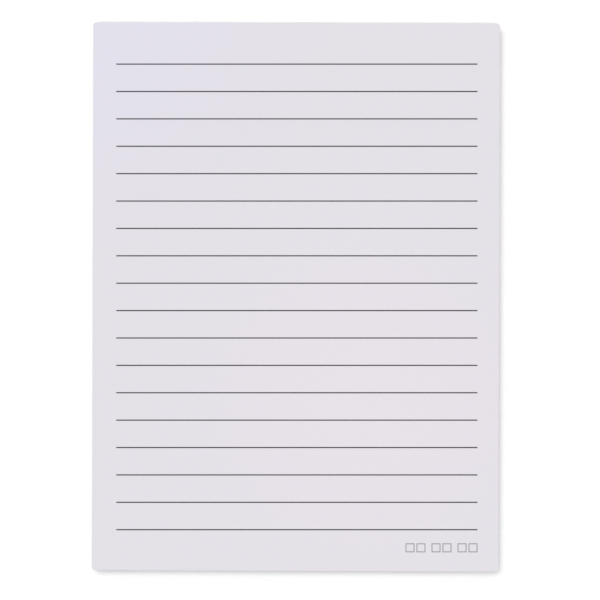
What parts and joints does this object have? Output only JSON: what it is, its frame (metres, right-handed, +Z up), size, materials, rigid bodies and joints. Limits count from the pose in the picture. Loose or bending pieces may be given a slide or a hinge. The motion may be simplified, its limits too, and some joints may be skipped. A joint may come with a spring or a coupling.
{
  "type": "legal pad",
  "caption": "Pad of ruled white writing paper, glued along its head edge on a stiff board; sheets are written on and torn off one by one.",
  "frame": {"origin": "on the table under the middle of the pad's whole outline, glue coat included", "axes": "+Z up from the table through the sheets, +Y towards the glued head edge, +X to the reader's right"},
  "size_m": [0.1188, 0.1606, 0.0057],
  "materials": {
    "paper": "matt uncoated white paper with a slight lavender cast",
    "board": "rough grey chipboard",
    "glue": "dried milky padding glue, slightly glossy",
    "rule_ink": "matt dark grey printing ink",
    "grey_ink": "matt mid grey printing ink"
  },
  "bodies": {
    "root": {"page_block": "paper", "backing_board": "board", "binding_glue": "glue", "ruled_lines": "rule_ink", "date_boxes": "grey_ink"}
  },
  "joints": []
}
